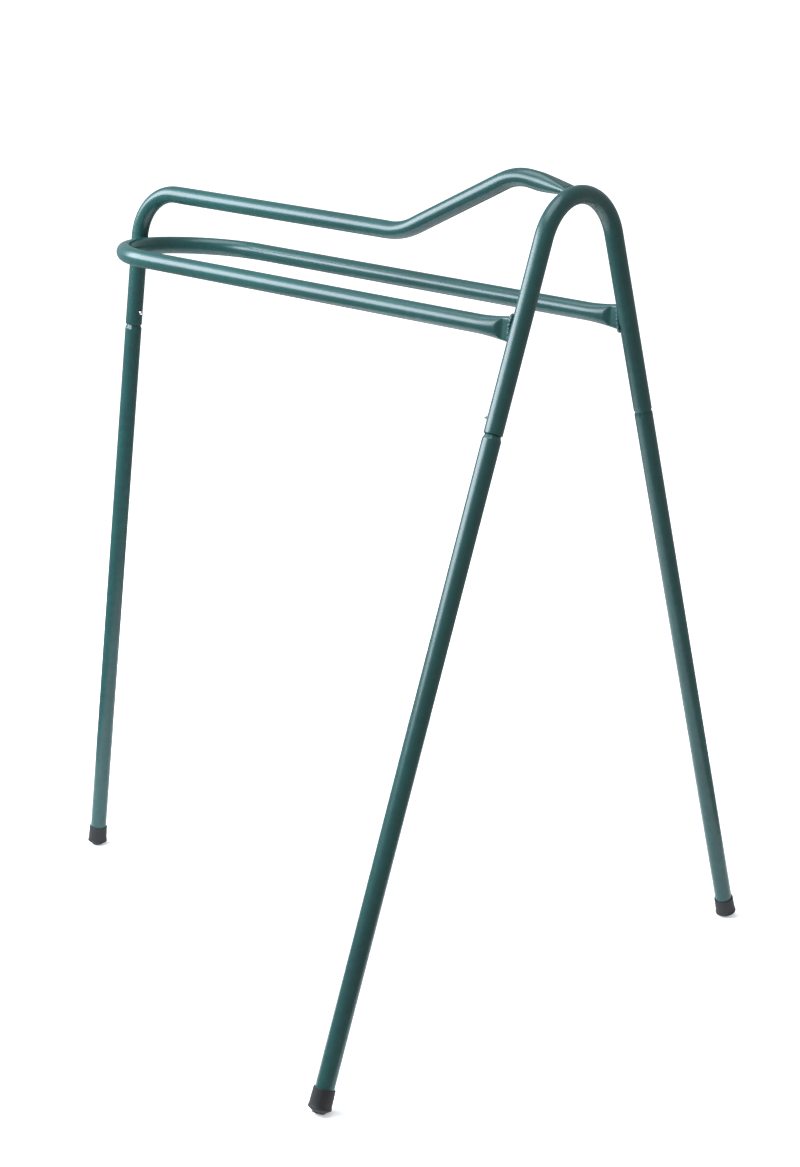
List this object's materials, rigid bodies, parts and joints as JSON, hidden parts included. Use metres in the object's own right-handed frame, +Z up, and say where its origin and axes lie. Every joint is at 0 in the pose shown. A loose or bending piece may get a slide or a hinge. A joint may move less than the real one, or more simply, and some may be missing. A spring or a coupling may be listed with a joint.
{
  "type": "saddle rack",
  "caption": "Free-standing three-legged saddle rack of bent steel tube, with a dipped ridge, a looped rail and pull-out lower legs locked by snap buttons.",
  "frame": {"origin": "on the floor, at the centre of the rack's footprint box", "axes": "+X towards the hoop end, where the saddle's pommel goes; +Y to the rack's left; +Z up"},
  "size_m": [0.7196, 0.7212, 0.8615],
  "materials": {
    "green_coat": "satin gloss powder coat",
    "spring_steel": "plain spring steel",
    "nickel": "bright nickel plate",
    "black_rubber": "matt moulded rubber"
  },
  "bodies": {
    "frame": {"hoop_tube": "green_coat", "ridge_tube": "green_coat", "rail_loop": "green_coat", "weld_ridge_front": "green_coat", "weld_rail_right": "green_coat", "weld_rail_left": "green_coat", "weld_loop_rear": "green_coat"},
    "lower_leg_front_right": {"leg_front_right": "green_coat", "clip_front_right": "spring_steel", "foot_front_right": "black_rubber"},
    "snap_button_front_right": {"button_front_right": "nickel"},
    "lower_leg_front_left": {"leg_front_left": "green_coat", "clip_front_left": "spring_steel", "foot_front_left": "black_rubber"},
    "snap_button_front_left": {"button_front_left": "nickel"},
    "lower_leg_rear": {"leg_rear": "green_coat", "clip_rear": "spring_steel", "foot_rear": "black_rubber"},
    "snap_button_rear": {"button_rear": "nickel"}
  },
  "joints": [
    {"name": "pull_out_front_right", "type": "slide", "parent": "frame", "child": "lower_leg_front_right", "axis": [0, -0.3453, -0.9385], "range_m": [0, 0.06], "deforming": ["clip_front_right", "button_front_right"]},
    {"name": "pull_out_front_left", "type": "slide", "parent": "frame", "child": "lower_leg_front_left", "axis": [0, 0.3453, -0.9385], "range_m": [0, 0.06], "deforming": ["clip_front_left", "button_front_left"]},
    {"name": "pull_out_rear", "type": "slide", "parent": "frame", "child": "lower_leg_rear", "axis": [-0.1005, 0, -0.9949], "range_m": [0, 0.06], "deforming": ["clip_rear", "button_rear"]},
    {"name": "press_button_front_right", "type": "slide", "parent": "lower_leg_front_right", "child": "snap_button_front_right", "axis": [0.8192, 0.5383, -0.1981], "range_m": [0, 0.0056], "stiffness_N_per_m": 1500, "deforming": ["clip_front_right"]},
    {"name": "press_button_front_left", "type": "slide", "parent": "lower_leg_front_left", "child": "snap_button_front_left", "axis": [0.8192, -0.5383, -0.1981], "range_m": [0, 0.0056], "stiffness_N_per_m": 1500, "deforming": ["clip_front_left"]},
    {"name": "press_button_rear", "type": "slide", "parent": "lower_leg_rear", "child": "snap_button_rear", "axis": [-0.9949, 0, 0.1005], "range_m": [0, 0.0056], "stiffness_N_per_m": 1500, "deforming": ["clip_rear"]}
  ]
}
